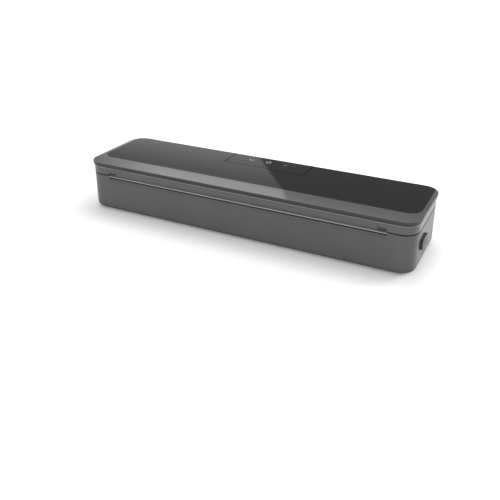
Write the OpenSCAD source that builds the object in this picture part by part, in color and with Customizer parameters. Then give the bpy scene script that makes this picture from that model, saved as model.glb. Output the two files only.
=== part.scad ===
/* [Body] */
// Width of the housing across its end walls
body_w = 370; // [350:5:450]
// Depth of the housing from front wall to rear wall
body_d = 95; // [90:1:120]
// Height of the housing's rim above the counter
rim_h = 42; // [41:0.5:60]
// Radius of the housing's upright corners
corner_r = 15.5; // [12:0.5:16]
// Radius of the housing's lower edge
bottom_r = 6; // [3:0.5:8]
// Thickness of the moulded walls
wall = 2.2; // [1.8:0.1:2.8]

/* [Lid] */
// Height of the lid's side wall
lid_wall_h = 9.6; // [9.4:0.2:16]
// Thickness of the glossy top plate
plate_t = 4.2; // [4.2:0.2:6]
// Overhang of the top plate past the walls
overhang = 1.25; // [1:0.25:2.5]
// Gap between the closed lid and the housing's rim
seam_gap = 0.5; // [0.4:0.1:0.9]
// Height of the set-back shadow line along the lid's lower edge
shadow_h = 0.9; // [0.5:0.1:1.2]
// Depth of the shadow line
shadow_d = 0.8; // [0.4:0.1:1.2]
// Radius of the lid wall's upper edge
lid_edge_r = 0.8; // [0.4:0.1:1.2]
// Radius of the plate's upper edge
plate_edge_r = 0.6; // [0.4:0.1:1.4]
// Radius of the plate's lower edge
plate_under_r = 2.05; // [1.6:0.05:2.1]
// Width of the lighter band along the front of the plate
front_band = 21.75; // [16:0.25:30]
// Width of the lighter band along each end of the plate
side_band = 4.5; // [2:0.5:8]
// Radius of the front corners of the gloss panel
panel_corner_r = 13; // [8:1:14]
// Thickness of the gloss panel
panel_t = 1.2; // [1:0.1:1.8]

/* [Control strip] */
// Width of the control strip
strip_w = 95; // [70:1:130]
// Depth of the control strip
strip_d = 29; // [24:1:34]
// Width of the groove round the control strip
groove_w = 0.9; // [0.3:0.1:1.2]
// Distance between two touch keys
key_pitch = 20.7; // [16:0.1:26]

/* [Bag slot] */
// Length of the bag slot in the front wall
slot_w = 317; // [280:1:325]
// Height of the scoop below the bag lip
scoop_h = 4.7; // [3:0.1:6]
// Depth of the scoop at the lip
scoop_depth = 1.8; // [1.4:0.1:2.6]
// Height of the bevel in the lid above the slot
slot_rise = 3; // [2:0.1:4]
// Depth of the bevel at the lid's lower edge
bevel_d = 1.2; // [0.8:0.1:1.5]
// Thickness of the bag lip
lip_t = 1.2; // [1:0.1:1.4]
// Setback of the lip from the front wall
lip_setback = 0.2; // [0.1:0.1:1]

/* [Sealing] */
// Length of the vacuum trough
trough_w = 300; // [260:1:305]
// Depth of the trough from front to back
trough_d = 16; // [12:0.5:18]
// Depth of the trough below the deck
trough_h = 8; // [6:0.5:10]
// Width of the foam gaskets
gasket_w = 4; // [3:0.5:4.5]
// Width of the heater bar
bar_w = 7; // [6:0.5:7.5]
// Length of the heater bar
bar_len = 304; // [260:1:312]
// Width of the resistance ribbon
ribbon_w = 3; // [2:0.5:4]

/* [Latches] */
// Length of a release button along the end wall
button_w = 20; // [18:0.5:24]
// Height of a release button
button_h = 10.8; // [10:0.2:12]
// Corner radius of a release button
button_r = 2.5; // [1.5:0.1:3]
// How far a release button stands out of the end wall
button_proud = 3; // [2.8:0.1:5]
// Distance of the button's centre in front of the middle of the housing
button_forward = 18; // [15:0.5:18.5]
// Distance of the button's centre below the rim
button_drop = 15.2; // [14.4:0.1:16]
// Travel of a release button
button_travel = 2.6; // [2:0.1:2.8]
// Overlap of catch and hook when latched
latch_bite = 1.7; // [1:0.1:1.9]

/* [Hinges] */
// Distance of each hinge from the middle
hinge_x = 120; // [100:1:130]
// Radius of the hinge knuckles
knuckle_r = 3; // [2.6:0.1:3]
// Radius of the hinge pins
pin_r = 1.25; // [1:0.05:1.5]
// Width of the lid's hinge barrel
barrel_w = 18; // [12:1:22]
// Width of each hinge ear on the housing
ear_w = 4; // [3:0.5:6]

/* [Feet and cord gland] */
// Radius of the rubber feet
foot_r = 6; // [4:0.5:8]
// Height of the feet below the housing
foot_h = 1; // [0.8:0.1:3]
// Radius of the opening in the cord gland
gland_bore_r = 2.6; // [2:0.1:3.5]

/* [Pump and power] */
// Radius of the pump motor's can
motor_r = 13.8; // [10:0.2:14]
// Length of the pump motor's can
motor_len = 34; // [25:1:40]
// Width of the transformer core
core_w = 42; // [34:1:48]
// Height of the transformer core
core_h = 34; // [26:1:35]

/* [Hidden] */
$fn = 72;
fit = 0.3;             // clearance of moving pieces
seat = 0.15;           // clearance of fixed pieces
running = 0.05;        // radial clearance of pins and shafts
press = 0.02;          // radial room of pressed-in pieces
past = 1;              // how far a cut reaches past the face it opens
eps = 0.01;

// heights
floor_z = foot_h + wall;
deck_top = rim_h - lip_t;
deck_t = 2.2;
deck_low = deck_top - deck_t;
lid_z = rim_h + seam_gap;
lid_top = lid_z + lid_wall_h;
skin_low = lid_top - wall;
plate_top = lid_top + plate_t;
liner_z = lid_z + 1.2;
liner_t = 2;
liner_top = liner_z + liner_t;
channel_h = 1.4;       // depth of the deck's channels
groove_h = 1.2;        // depth of the liner's grooves
gasket_top = rim_h + 0.1;

// outlines: every rounded outline shares the centres of the housing's corners
end_x = body_w / 2;
front_y = -body_d / 2;
back_y = body_d / 2;
corner_x = end_x - corner_r;
corner_y = back_y - corner_r;
inner_r = corner_r - wall;
deck_r = inner_r - seat;
plate_r = corner_r + overhang;
flat_r = plate_r - plate_edge_r;

// sealing line and vacuum trough
rail_t = 2;            // rail behind the scoop
lip_back = wall + rail_t + 1.6; // rear edge of the lip, behind the front wall
bar_y = front_y + wall + rail_t + 0.8 + bar_w / 2 + 1.5;
gasket_gap = 2;        // land between trough and gasket
gasket_out = gasket_gap + gasket_w;
trough_y = bar_y + bar_w / 2 + 1.5 + gasket_out + trough_d / 2;
trough_corner_r = 5;
trough_wall = 2;
bar_low = deck_top - channel_h;
bar_h = 2;
ribbon_t = 0.2;
tape_t = 0.15;
tape_top = bar_low + bar_h + ribbon_t + tape_t;
scoop_r = (scoop_h * scoop_h + scoop_depth * scoop_depth) / (2 * scoop_depth);
scoop_end = 3;
bevel_foot = 0.3;       // upright foot of the bevel above the slot
rail_over = 1.5;        // rail past each end of the slot
rail_room = 2;          // notch of the deck past each end of the slot
ribbon_in = 3;          // from the bar's ends
tape_in = 1;            // from the bar's ends
tape_side = 0.2;        // from the bar's sides
dome_wall = 1.4;        // walls of the liner's dome over the trough
dome_roof = 1.2;
dome_gap = 0.2;         // between the dome and the lid's skin
port_flange_h = 1.5;
port_flange = 1.6;

// hinge line
hinge_y = back_y + overhang - knuckle_r;
hinge_z = rim_h + seam_gap / 2;
knuckle_half = barrel_w / 2 + fit + ear_w;
swing_room = 0.6;
swing_r = back_y - hinge_y + swing_room;
ear_foot = 9;           // gusset below the ear
barrel_foot = 7;        // gusset above the lid's barrel

// latch, measured inward from the end wall
button_y = -button_forward;
button_z = rim_h - button_drop;
button_inner_x = end_x - wall - 0.1;
flange_t = 2;
flange_side = 2;        // flange past the button's ends
flange_low = 1.5;       // flange below the button
flange_drop = 0.1;      // flange's top edge below the button's
button_edge_r = 0.8;
ridge_pitch = 3;        // finger grooves of the button
ridge_r = 0.9;
ridge_out = 0.5;
slider_w = 24;
slider_z = button_z - button_h / 2 + 0.7;
slider_t = 2.5;
slider_x1 = button_inner_x - flange_t;
slider_x0 = end_x - 19;
hook_nose_t = 1.8;
catch_t = 1.8;
latch_gap = 0.2;
hook_low = button_z + button_h / 2 + 1.1;
catch_low = hook_low + hook_nose_t + latch_gap;
hook_t = 2.6;
hook_w = 12;
hook_x = end_x - 9.4;
hook_nose = 3;
hook_chamfer = 0.8;
hook_tip = 0.7;
hook_foot_in = 6;       // foot of the hook above the liner
hook_foot_out = 2;
hook_foot_t = 1.8;
hook_room_in = 1;       // room of the hook in the deck
hook_room_out = 1.4;
hook_room_y = 2.2;
catch_tip = 0.6;
catch_over = 1;         // catch past the hook's ends
post_t = 3;
post_x1 = end_x - 13.5;
catch_x = hook_x - hook_nose + latch_bite;
cage_wall = 2;
cage_x0 = end_x - 28;
cage_x1 = slider_x1 - button_travel - 0.9;
cage_low = slider_z - fit - cage_wall;
spring_r = 3;
spring_wire_r = 0.35;
spring_turns = 6;
spring_z = slider_z + slider_t + spring_r + 0.4;
pip_r = spring_r - 2 * spring_wire_r - fit;
pip_l = 2;

// screws between housing and deck
well_r = 4.4;
well_sink = 0.5;        // wells start inside the floor
well_top = floor_z + 4;
column_r = 3.2;         // columns of the deck above the wells
lid_post_r = 3;
lid_skin = 0.8;         // skin left above the lid's screw holes
screw_r = 1.25;
head_r = 2.8;
head_h = 2;
drive_w = 3.2;          // cross recess of the heads
drive_slot = 0.7;
drive_h = 1;
drive_past = 0.2;
deck_screw_l = 13;
lid_screw_l = 5;
head_seat_z = foot_h + 3.4;
screw_inset = 10;       // from the front and rear walls
rear_screw_in = 40;     // from the end walls
mid_screw_x = 15;
front_screw_x = 90;
lid_screw_in = 20;      // from the end walls
lid_screw_x = 80;
lid_screw_y = 22;
deck_screws_at = [for (side = [-1, 1]) each [
    [side * (end_x - rear_screw_in), back_y - screw_inset],
    [side * mid_screw_x, back_y - screw_inset],
    [side * front_screw_x, front_y + screw_inset]]];
lid_screws_at = [for (side = [-1, 1]) each [
    [side * (end_x - lid_screw_in), lid_screw_y],
    [side * lid_screw_x, lid_screw_y],
    [side * (end_x - lid_screw_in), front_y + screw_inset - 1]]];
foot_x = end_x - 27;
foot_y = back_y - 17;
foot_seat = 1.2;

// control strip and its board
strip_y = back_y + overhang - plate_edge_r - strip_d / 2;
panel_fit = 0.05;
board_t = 1.2;
board_d = 12;
board_over = 4;
board_gap = 0.2;
board_top = skin_low - board_gap;
keys_y = strip_y + 3.5;
pad_r = 3.5;

// pump and power unit
motor_in = 149;         // from the end wall
motor_back = 28.5;      // from the rear wall
motor_x = end_x - motor_in;
motor_y = back_y - motor_back;
motor_z = floor_z + 1.6 + motor_r;
head_x = motor_x + motor_len;
head_len = 26;
head_in = 1.8;          // crank case inside the motor's outline
case_wall = 1.5;
case_room = 1;          // round the turning crank
nozzle_l = 4.5;         // nozzle inside the hose
nozzle_end = 0.5;       // hose bore past the nozzle
boss_r = 5;             // bearing boss of the motor
boss_l = 2;
shaft_in = 3;           // shaft inside the motor
shaft_end = 1;          // shaft past the crank case
shaft_room = 0.6;
crank_r = 5;
crank_offset = 1.5;
crank_case = 11;
pump_block = 22;
block_foot = 16;
port_x = trough_w / 2 - 18;
hose_r = 2.6;
hose_bore_r = 1.5;
branch_r = hose_r - 0.6;
elbow_r = 6;
hose_x0 = head_x + head_len + 2;
shaft_r = 1.15;
port_low = deck_top - trough_h - trough_wall - 4;
valve_w = 16;
valve_d = 15;
valve_y = motor_y + 2;
valve_x0 = port_x + hose_r + 5;
valve_over = 5;         // valve body above the hose's middle line
valve_cap_r = 5;
valve_cap_h = 4;
bracket_w = 14;
bracket_foot = 5;
bracket_foot_t = 2.5;
strap_t = 1.2;
trafo_in = 99;
trafo_x = trafo_in - end_x;
trafo_y = back_y - 27.5;
trafo_t = 18;
core_leg = core_w / 6;  // outer legs; the middle one is twice as wide
coil_fit = 0.1;
coil_over = 5;          // coil proud of the core at front and rear
pcb_x = -20;
pcb_y = 8;
pcb_z = floor_z + 5;
pcb_w = 58;
pcb_d = 44;
pcb_t = 1.6;
pcb_post_r = 3;
pcb_post_in = 4;
relay = [16, 12, 14];   // sizes of the parts on the power board, and their places from its middle
relay_at = [-18, 12];
bridge = [12, 10, 8];
bridge_at = [20, -12];
heat_sink = [20, 3, 12];
heat_sink_at = [0, -4];
capacitor_r = 3.6;
capacitor_h = 15;
capacitor_pitch = 9;
capacitors_at = [-2, 13];
pcb_posts = [for (sx = [-1, 1], sy = [-1, 1]) 
    [pcb_x + sx * (pcb_w / 2 - pcb_post_in), pcb_y + sy * (pcb_d / 2 - pcb_post_in)]];

// lid switch
switch_x = end_x - 20;
switch_y = 8;
switch_size = [12, 8, 10];
plunger_r = 1.6;
plunger_in = 3.8;       // plunger inside the switch at rest
plunger_well = 5;

// cord gland in the rear wall
gland_in = 60;          // from the end wall
gland_x = gland_in - end_x;
gland_z = 14;
gland_wall = 1.8;
gland_r = gland_bore_r + gland_wall;
gland_flange = 1.8;     // flange past the wall's opening
gland_lock = 1;         // inner ring past the opening
gland_lock_t = 2;
collar_t = 2;
gland_out = overhang - 0.2;

// ---------- shared shapes ----------

// Rounded rectangle whose corner circles have the given radius
module round_rect(w, d, r) {
    square([w, d - 2 * r], center = true);
    square([w - 2 * r, d], center = true);
    for (sx = [-1, 1], sy = [-1, 1])
        translate([sx * (w / 2 - r), sy * (d / 2 - r)]) circle(r);
}

// Outline of the sealer at a given corner radius, about the shared corner centres
module outline(r) {
    round_rect(2 * (corner_x + r), 2 * (corner_y + r), r);
}

// Half section of a slab with rounded lower and upper edges
module edge_section(r, z0, z1, low_r, high_r) {
    translate([0, z0 + low_r]) square([r, z1 - z0 - low_r - high_r]);
    if (low_r > 0) {
        translate([0, z0]) square([r - low_r, low_r + eps]);
        translate([r - low_r, z0 + low_r]) circle(low_r);
    }
    if (high_r > 0) {
        translate([0, z1 - high_r - eps]) square([r - high_r, high_r + eps]);
        translate([r - high_r, z1 - high_r]) circle(high_r);
    }
}

// Rounded slab: the half section swept round corners centred at (cx, cy)
module rounded_slab(cx, cy, r, z0, z1, low_r, high_r) {
    for (quarter = [0:3])
        translate([(quarter == 0 || quarter == 3 ? 1 : -1) * cx, (quarter < 2 ? 1 : -1) * cy, 0])
            rotate(90 * quarter)
                rotate_extrude(angle = 90) edge_section(r, z0, z1, low_r, high_r);
    for (turn = [0, 180]) {
        rotate(turn) translate([cx, 0, 0]) rotate([90, 0, 0])
            linear_extrude(2 * cy, center = true) edge_section(r, z0, z1, low_r, high_r);
        rotate(turn) translate([0, cy, 0]) rotate([90, 0, 90])
            linear_extrude(2 * cx, center = true) edge_section(r, z0, z1, low_r, high_r);
    }
    translate([-cx, -cy, z0]) cube([2 * cx, 2 * cy, z1 - z0]);
}

module body_slab(r, z0, z1, low_r = 0, high_r = 0) {
    rounded_slab(corner_x, corner_y, r, z0, z1, low_r, high_r);
}

module plan(z0, z1) {
    translate([0, 0, z0]) linear_extrude(z1 - z0) children();
}

// Child drawn in (y, z) and extruded along x from x0 to x1
module along_x(x0, x1) {
    translate([x0, 0, 0]) rotate([90, 0, 90]) linear_extrude(x1 - x0) children();
}

// Child drawn in (x, z) and extruded along y from y0 to y1
module along_y(y0, y1) {
    translate([0, y1, 0]) rotate([90, 0, 0]) linear_extrude(y1 - y0) children();
}

module rod_x(x0, x1, r) {
    translate([x0, 0, 0]) rotate([0, 90, 0]) cylinder(h = x1 - x0, r = r);
}

module at_hinges() {
    for (side = [-1, 1]) translate([side * hinge_x, hinge_y, hinge_z]) children();
}

module at_each(places) {
    for (p = places) translate([p[0], p[1], 0]) children();
}

module both_ends() {
    children();
    mirror([1, 0, 0]) children();
}

module trough_outline(grow) {
    translate([0, trough_y])
        round_rect(trough_w + 2 * grow, trough_d + 2 * grow, trough_corner_r + grow);
}

module gasket_outline(spare = 0) {
    difference() {
        trough_outline(gasket_out + spare);
        trough_outline(gasket_gap - spare);
    }
}

module bar_outline(grow) {
    translate([0, bar_y]) square([bar_len + 2 * grow, bar_w + 2 * grow], center = true);
}

module slab(size, at) {
    translate([at[0] - size[0] / 2, at[1] - size[1] / 2, at[2]]) cube(size);
}

// ---------- base ----------

// Scoop under the bag lip: a wide cylinder with cone ends
module scoop() {
    half = slot_w / 2 - scoop_end;
    translate([0, front_y + scoop_depth - scoop_r, deck_top]) {
        rod_x(-half - eps, half + eps, scoop_r);
        both_ends() translate([half, 0, 0]) rotate([0, 90, 0])
            cylinder(h = scoop_end, r1 = scoop_r, r2 = scoop_r - scoop_depth);
    }
}

module button_window() {
    along_x(end_x - wall - 1, end_x + 1)
        translate([button_y, button_z])
            round_rect(button_w + 2 * fit, button_h + 2 * fit, button_r + fit);
}

module hinge_ear() {
    for (side = [-1, 1])
        along_x(side * (barrel_w / 2 + fit + ear_w / 2) - ear_w / 2,
                side * (barrel_w / 2 + fit + ear_w / 2) + ear_w / 2) {
            circle(knuckle_r);
            polygon([[-knuckle_r, 0], [knuckle_r, 0], [back_y - hinge_y - eps, -ear_foot],
                     [-knuckle_r, -ear_foot]]);
        }
}

module base_housing() {
    color([0.33, 0.33, 0.34]) difference() {
        union() {
            difference() {
                body_slab(corner_r, foot_h, rim_h, bottom_r);
                body_slab(inner_r, floor_z, rim_h + past, max(bottom_r - wall, 0.5));
            }
            // rail behind the scoop
            along_x(-slot_w / 2 - rail_over, slot_w / 2 + rail_over)
                polygon([[front_y + wall - eps, deck_top], [front_y + wall + rail_t, deck_top],
                         [front_y + wall + rail_t, deck_top - scoop_h - 1],
                         [front_y + wall - eps, deck_top - scoop_h - 1 - rail_t]]);
            at_hinges() hinge_ear();
            at_each(deck_screws_at) translate([0, 0, foot_h + well_sink])
                cylinder(h = well_top - foot_h - well_sink, r = well_r);
            // cord opening collar
            translate([gland_x, back_y - wall - collar_t, gland_z]) rotate([-90, 0, 0])
                cylinder(h = collar_t + wall / 2, r = gland_r + collar_t);
            // posts of the power board
            at_each(pcb_posts) translate([0, 0, floor_z - eps])
                cylinder(h = pcb_z - floor_z + eps, r = pcb_post_r);
        }
        intersection() {
            scoop();
            translate([-end_x, front_y - scoop_r, 0]) cube([body_w, body_d, deck_top]);
        }
        translate([-slot_w / 2, front_y - past, deck_top])
            cube([slot_w, wall + rail_t + 2 * past, lip_t + past]);
        both_ends() button_window();
        at_hinges() rod_x(-barrel_w / 2 - fit, barrel_w / 2 + fit, knuckle_r + fit);
        at_hinges() rod_x(-knuckle_half - past, knuckle_half + past, pin_r + press);
        at_each(deck_screws_at) {
            translate([0, 0, foot_h - past]) cylinder(h = head_seat_z - foot_h + past, r = head_r + fit);
            cylinder(h = well_top + past, r = screw_r + fit);
        }
        for (sx = [-1, 1], sy = [-1, 1])
            translate([sx * foot_x, sy * foot_y, foot_h - past])
                cylinder(h = foot_seat + past, r = foot_r + seat);
        translate([gland_x, back_y - wall - collar_t - past, gland_z]) rotate([-90, 0, 0])
            cylinder(h = wall + collar_t + 2 * past, r = gland_r + press);
    }
}

// Cage that guides a latch slider under the deck, at the right end
module latch_cage() {
    half_w = slider_w / 2 + fit;
    translate([0, button_y, 0]) difference() {
        translate([cage_x0, -half_w - cage_wall, cage_low])
            cube([cage_x1 - cage_x0, 2 * (half_w + cage_wall), deck_low - cage_low + eps]);
        translate([cage_x0 + cage_wall, -half_w, slider_z - fit])
            cube([end_x, 2 * half_w, deck_low - slider_z + fit - eps]);
    }
    translate([cage_x0 + cage_wall - eps, button_y, spring_z]) rotate([0, 90, 0])
        cylinder(h = pip_l, r = pip_r);
}

module latch_slot() {
    translate([hook_x - hook_nose - hook_room_in, button_y - hook_w / 2 - hook_room_y, deck_low - past])
        cube([hook_room_in + hook_nose + hook_t + hook_room_out, hook_w + 2 * hook_room_y,
              deck_t + 2 * past]);
}

module hinge_notch(z0, z1) {
    for (side = [-1, 1])
        translate([side * hinge_x - knuckle_half - fit, hinge_y - knuckle_r - swing_room, z0])
            cube([2 * (knuckle_half + fit), 2 * knuckle_r + wall, z1 - z0]);
}

module deck() {
    color([0.28, 0.28, 0.29]) difference() {
        union() {
            plan(deck_low, deck_top) difference() {
                outline(deck_r);
                translate([-slot_w / 2 - rail_room, front_y])
                    square([slot_w + 2 * rail_room, wall + rail_t + seat]);
            }
            plan(deck_top - trough_h - trough_wall, deck_low + eps) trough_outline(trough_wall);
            both_ends() latch_cage();
            at_each(deck_screws_at) translate([0, 0, well_top])
                cylinder(h = deck_low - well_top + eps, r = column_r);
        }
        plan(deck_top - trough_h, deck_top + past) trough_outline(0);
        plan(deck_top - channel_h, deck_top + past) gasket_outline(seat);
        plan(deck_top - channel_h, deck_top + past) bar_outline(seat);
        both_ends() latch_slot();
        hinge_notch(deck_low - past, deck_top + past);
        at_each(deck_screws_at) translate([0, 0, well_top - past])
            cylinder(h = deck_screw_l + past, r = screw_r + running);
        translate([port_x, trough_y, 0]) cylinder(h = rim_h, r = hose_r + seat);
        translate([switch_x, switch_y, deck_low - past])
            cylinder(h = deck_t + 2 * past, r = plunger_r + fit);
    }
}

// Lip that the bag slides over, with a rounded nose
module bag_lip() {
    half = slot_w / 2 - seat;
    nose_y = front_y + lip_setback + lip_t / 2;
    color([0.55, 0.55, 0.56]) {
        along_x(-half, half) {
            translate([nose_y, deck_top]) square([front_y + lip_back - nose_y, lip_t]);
            translate([nose_y, deck_top + lip_t / 2]) circle(lip_t / 2);
        }
    }
}

module lower_gasket() {
    color([0.12, 0.12, 0.12]) plan(deck_top - channel_h, gasket_top) gasket_outline();
}

module heater_bar() {
    color([0.16, 0.15, 0.14]) plan(bar_low, bar_low + bar_h) bar_outline(0);
}

module heating_ribbon() {
    color([0.7, 0.68, 0.64]) plan(bar_low + bar_h, bar_low + bar_h + ribbon_t)
        translate([0, bar_y]) square([bar_len - 2 * ribbon_in, ribbon_w], center = true);
}

module release_tape() {
    color([0.45, 0.36, 0.26]) plan(tape_top - tape_t, tape_top)
        translate([0, bar_y]) square([bar_len - 2 * tape_in, bar_w - 2 * tape_side], center = true);
}

// Flanged port whose tail goes down through the trough
module suction_port() {
    color([0.2, 0.2, 0.2]) translate([port_x, trough_y, 0]) difference() {
        union() {
            translate([0, 0, deck_top - trough_h]) cylinder(h = port_flange_h, r = hose_r + port_flange);
            translate([0, 0, port_low]) cylinder(h = deck_top - trough_h - port_low + eps, r = hose_r);
        }
        translate([0, 0, port_low - past]) cylinder(h = deck_top - port_low, r = hose_bore_r);
    }
}

module elbow() {
    rotate_extrude(angle = 90) translate([elbow_r, 0]) circle(hose_r);
}

// Hose from the pump nozzle, round two bends and up to the suction port
module vacuum_hose() {
    color([0.75, 0.75, 0.72]) difference() {
        union() {
            translate([0, motor_y, motor_z]) rod_x(hose_x0, port_x - elbow_r, hose_r);
            translate([port_x - elbow_r, motor_y - elbow_r, motor_z]) elbow();
            translate([port_x, trough_y + elbow_r, motor_z]) rotate([90, 0, 0])
                mirror([0, 0, 1]) cylinder(h = motor_y - trough_y - 2 * elbow_r, r = hose_r);
            translate([port_x, trough_y + elbow_r, motor_z + elbow_r]) rotate([0, 90, 0])
                rotate([0, 0, -90]) elbow();
            translate([port_x, trough_y, motor_z + elbow_r])
                cylinder(h = port_low - motor_z - elbow_r, r = hose_r);
            // branch to the release valve
            translate([0, motor_y, motor_z]) rod_x(port_x - elbow_r - hose_r, valve_x0, branch_r);
        }
        translate([0, motor_y, motor_z]) 
            rod_x(hose_x0 - past, hose_x0 + nozzle_l + nozzle_end, hose_bore_r + seat);
    }
}

module pump_head() {
    color([0.2, 0.2, 0.21]) difference() {
        union() {
            translate([0, motor_y, motor_z]) {
                rod_x(head_x, head_x + crank_case, motor_r - head_in);
                translate([head_x + crank_case - eps, -pump_block / 2, -pump_block / 2])
                    cube([head_len - crank_case, pump_block, pump_block]);
                rod_x(head_x + head_len - past, hose_x0 + nozzle_l, hose_bore_r);
            }
            slab([crank_case, block_foot, motor_z - floor_z], [head_x + crank_case / 2, motor_y, floor_z]);
        }
        translate([0, motor_y, motor_z]) {
            rod_x(head_x + case_wall, head_x + crank_case - case_wall, crank_r + crank_offset + case_room);
            rod_x(head_x - past, head_x + case_wall + past / 2, shaft_r + shaft_room);
            rod_x(head_x + crank_case - case_wall - past / 2, head_x + crank_case + case_wall,
                  shaft_r + running);
        }
    }
}

// Motor shaft with its eccentric disc
module pump_crank() {
    color([0.7, 0.7, 0.7]) translate([0, motor_y, motor_z]) {
        rod_x(head_x - shaft_in, head_x + crank_case + shaft_end, shaft_r);
        translate([0, crank_offset, 0])
            rod_x(head_x + case_wall + case_room / 2, head_x + crank_case - case_wall - case_room / 2,
                  crank_r);
    }
}

module pump_motor() {
    color([0.62, 0.62, 0.64]) difference() {
        translate([0, motor_y, motor_z]) {
            rod_x(motor_x, motor_x + motor_len, motor_r);
            rod_x(motor_x - boss_l, motor_x + eps, boss_r);
        }
        translate([0, motor_y, motor_z])
            rod_x(motor_x + motor_len - shaft_in - past, motor_x + motor_len + past, shaft_r + running);
    }
}

// Saddle under the motor with a strap over it
module pump_bracket() {
    strap = motor_r + strap_t;
    mid_x = motor_x + motor_len / 2;
    color([0.3, 0.3, 0.31]) translate([0, motor_y, 0]) difference() {
        union() {
            slab([bracket_w, 2 * (motor_r + bracket_foot), bracket_foot_t], [mid_x, 0, floor_z]);
            slab([bracket_w, 2 * strap, motor_z - floor_z], [mid_x, 0, floor_z]);
            translate([0, 0, motor_z]) rod_x(mid_x - bracket_w / 2, mid_x + bracket_w / 2, strap);
        }
        translate([0, 0, motor_z]) rod_x(motor_x, motor_x + motor_len, motor_r + press);
    }
}

module release_valve() {
    color([0.22, 0.22, 0.22]) translate([valve_x0 + valve_w / 2, valve_y, 0]) {
        slab([valve_w, valve_d, motor_z + valve_over - floor_z], [0, 0, floor_z]);
        translate([0, 0, motor_z + valve_over - eps]) cylinder(h = valve_cap_h + eps, r = valve_cap_r);
    }
}

// E-shaped stack of plates with the coil's window on each side of the middle leg
module transformer_core() {
    color([0.45, 0.45, 0.47]) translate([trafo_x, trafo_y, floor_z]) difference() {
        slab([core_w, trafo_t, core_h], [0, 0, 0]);
        for (side = [-1, 1])
            slab([core_leg, trafo_t + 2 * past, core_h - 2 * core_leg], [side * core_leg * 1.5, 0, core_leg]);
    }
}

module transformer_coil() {
    color([0.72, 0.5, 0.25]) translate([trafo_x, trafo_y, floor_z + core_leg + coil_fit]) difference() {
        slab([4 * core_leg - 2 * coil_fit, trafo_t + 2 * coil_over, core_h - 2 * (core_leg + coil_fit)],
             [0, 0, 0]);
        slab([2 * core_leg + coil_fit, trafo_t + coil_fit, core_h], [0, 0, -past]);
    }
}

module power_board() {
    color([0.1, 0.35, 0.2]) translate([0, pcb_y, pcb_z]) slab([pcb_w, pcb_d, pcb_t], [pcb_x, 0, 0]);
}

module board_components() {
    color([0.15, 0.15, 0.17]) translate([pcb_x, pcb_y, pcb_z + pcb_t]) {
        slab(relay, [relay_at[0], relay_at[1], 0]);
        slab(bridge, [bridge_at[0], bridge_at[1], 0]);
        slab(heat_sink, [heat_sink_at[0], heat_sink_at[1], 0]);
        for (i = [0:2]) translate([capacitors_at[0] + capacitor_pitch * i, capacitors_at[1], 0])
            cylinder(h = capacitor_h, r = capacitor_r);
    }
}

module lid_switch() {
    color([0.14, 0.14, 0.14]) difference() {
        slab(switch_size, [switch_x, switch_y, deck_low - switch_size[2]]);
        translate([switch_x, switch_y, deck_low - plunger_well])
            cylinder(h = plunger_well + past, r = plunger_r + running);
    }
}

module switch_plunger() {
    color([0.75, 0.2, 0.15]) translate([switch_x, switch_y, deck_low - plunger_in])
        cylinder(h = liner_z - fit - deck_low + plunger_in, r = plunger_r);
}

// Rubber ring in the rear wall that the mains cord passes through
module cord_gland() {
    color([0.08, 0.08, 0.08]) translate([gland_x, 0, gland_z]) difference() {
        union() {
            translate([0, back_y, 0]) rotate([-90, 0, 0]) cylinder(h = gland_out, r = gland_r + gland_flange);
            translate([0, back_y - wall - collar_t, 0]) rotate([-90, 0, 0])
                cylinder(h = wall + collar_t + eps, r = gland_r);
            translate([0, back_y - wall - collar_t - gland_lock_t, 0]) rotate([-90, 0, 0])
                cylinder(h = gland_lock_t, r = gland_r + gland_lock);
        }
        translate([0, back_y - wall - collar_t - gland_lock_t - past, 0]) rotate([-90, 0, 0])
            cylinder(h = wall + collar_t + gland_lock_t + gland_out + 2 * past, r = gland_bore_r);
    }
}

module rubber_feet() {
    color([0.1, 0.1, 0.1]) for (sx = [-1, 1], sy = [-1, 1])
        translate([sx * foot_x, sy * foot_y, 0]) cylinder(h = foot_h + foot_seat, r = foot_r);
}

// Pan-head screw pointing up, its head's seat at z = 0
module screw(length) {
    difference() {
        union() {
            cylinder(h = length, r = screw_r);
            translate([0, 0, -head_h]) cylinder(h = head_h, r = head_r);
        }
        for (turn = [0, 90]) rotate(turn)
            slab([drive_w, drive_slot, drive_h + drive_past], [0, 0, -head_h - drive_past]);
    }
}

module deck_screws() {
    color([0.6, 0.6, 0.62]) at_each(deck_screws_at) translate([0, 0, head_seat_z])
        screw(deck_screw_l);
}

module hinge_pins() {
    color([0.7, 0.7, 0.72]) at_hinges() rod_x(-knuckle_half, knuckle_half, pin_r);
}

// ---------- lid ----------

module lid_barrel() {
    along_x(-barrel_w / 2, barrel_w / 2) difference() {
        union() {
            circle(knuckle_r);
            polygon([[-knuckle_r, 0], [knuckle_r, 0], [back_y - hinge_y - eps, barrel_foot],
                     [-knuckle_r, barrel_foot]]);
        }
        circle(pin_r + running);
    }
}

// Bevel above the slot: its foot stands back, and its face rises forward to the lid's front
module slot_relief() {
    along_x(-slot_w / 2, slot_w / 2)
        polygon([[front_y - past, lid_z - past], [front_y + bevel_d, lid_z - past],
                 [front_y + bevel_d, lid_z + bevel_foot], [front_y, lid_z + slot_rise],
                 [front_y - past, lid_z + slot_rise]]);
}

// Shadow line: the lid's lower edge set back all round
module shadow_line() {
    plan(lid_z - past, lid_z + shadow_h) difference() {
        outline(corner_r + past);
        outline(corner_r - shadow_d);
    }
}

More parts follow.
